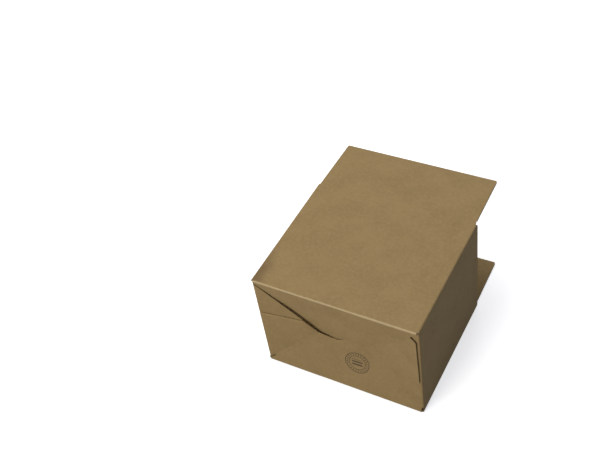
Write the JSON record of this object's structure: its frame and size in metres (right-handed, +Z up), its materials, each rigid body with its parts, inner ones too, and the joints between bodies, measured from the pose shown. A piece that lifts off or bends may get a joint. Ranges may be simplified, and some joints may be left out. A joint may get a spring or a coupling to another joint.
{
  "type": "auto-bottom shipping box",
  "caption": "Corrugated board shipping box with a crash-lock bottom, lying on a wide panel with its closing flaps open.",
  "frame": {"origin": "centre of the bounding box on the supporting plane, open flaps included", "axes": "+X across the box, +Y from the auto-bottom towards the open end, +Z up as the box lies"},
  "size_m": [0.311, 0.377, 0.221],
  "materials": {
    "board": "matt brown kraft liner"
  },
  "bodies": {
    "box": {"box_body": "board"},
    "top_flap": {"flap_top": "board"},
    "bottom_flap": {"flap_bottom": "board"},
    "left_flap": {"flap_left": "board"},
    "right_flap": {"flap_right": "board"}
  },
  "joints": [
    {"name": "top_flap_fold", "type": "hinge", "parent": "box", "child": "top_flap", "pos_m": [0, 0.0785, 0.221], "axis": [-1, 0, 0], "range_deg": [-90, 90]},
    {"name": "bottom_flap_fold", "type": "hinge", "parent": "box", "child": "bottom_flap", "pos_m": [0, 0.0785, 0], "axis": [1, 0, 0], "range_deg": [-90, 90]},
    {"name": "left_flap_fold", "type": "hinge", "parent": "box", "child": "left_flap", "pos_m": [-0.1555, 0.0745, 0.1105], "axis": [0, 0, 1], "range_deg": [0, 180]},
    {"name": "right_flap_fold", "type": "hinge", "parent": "box", "child": "right_flap", "pos_m": [0.1555, 0.0745, 0.1105], "axis": [0, 0, -1], "range_deg": [0, 180]}
  ]
}
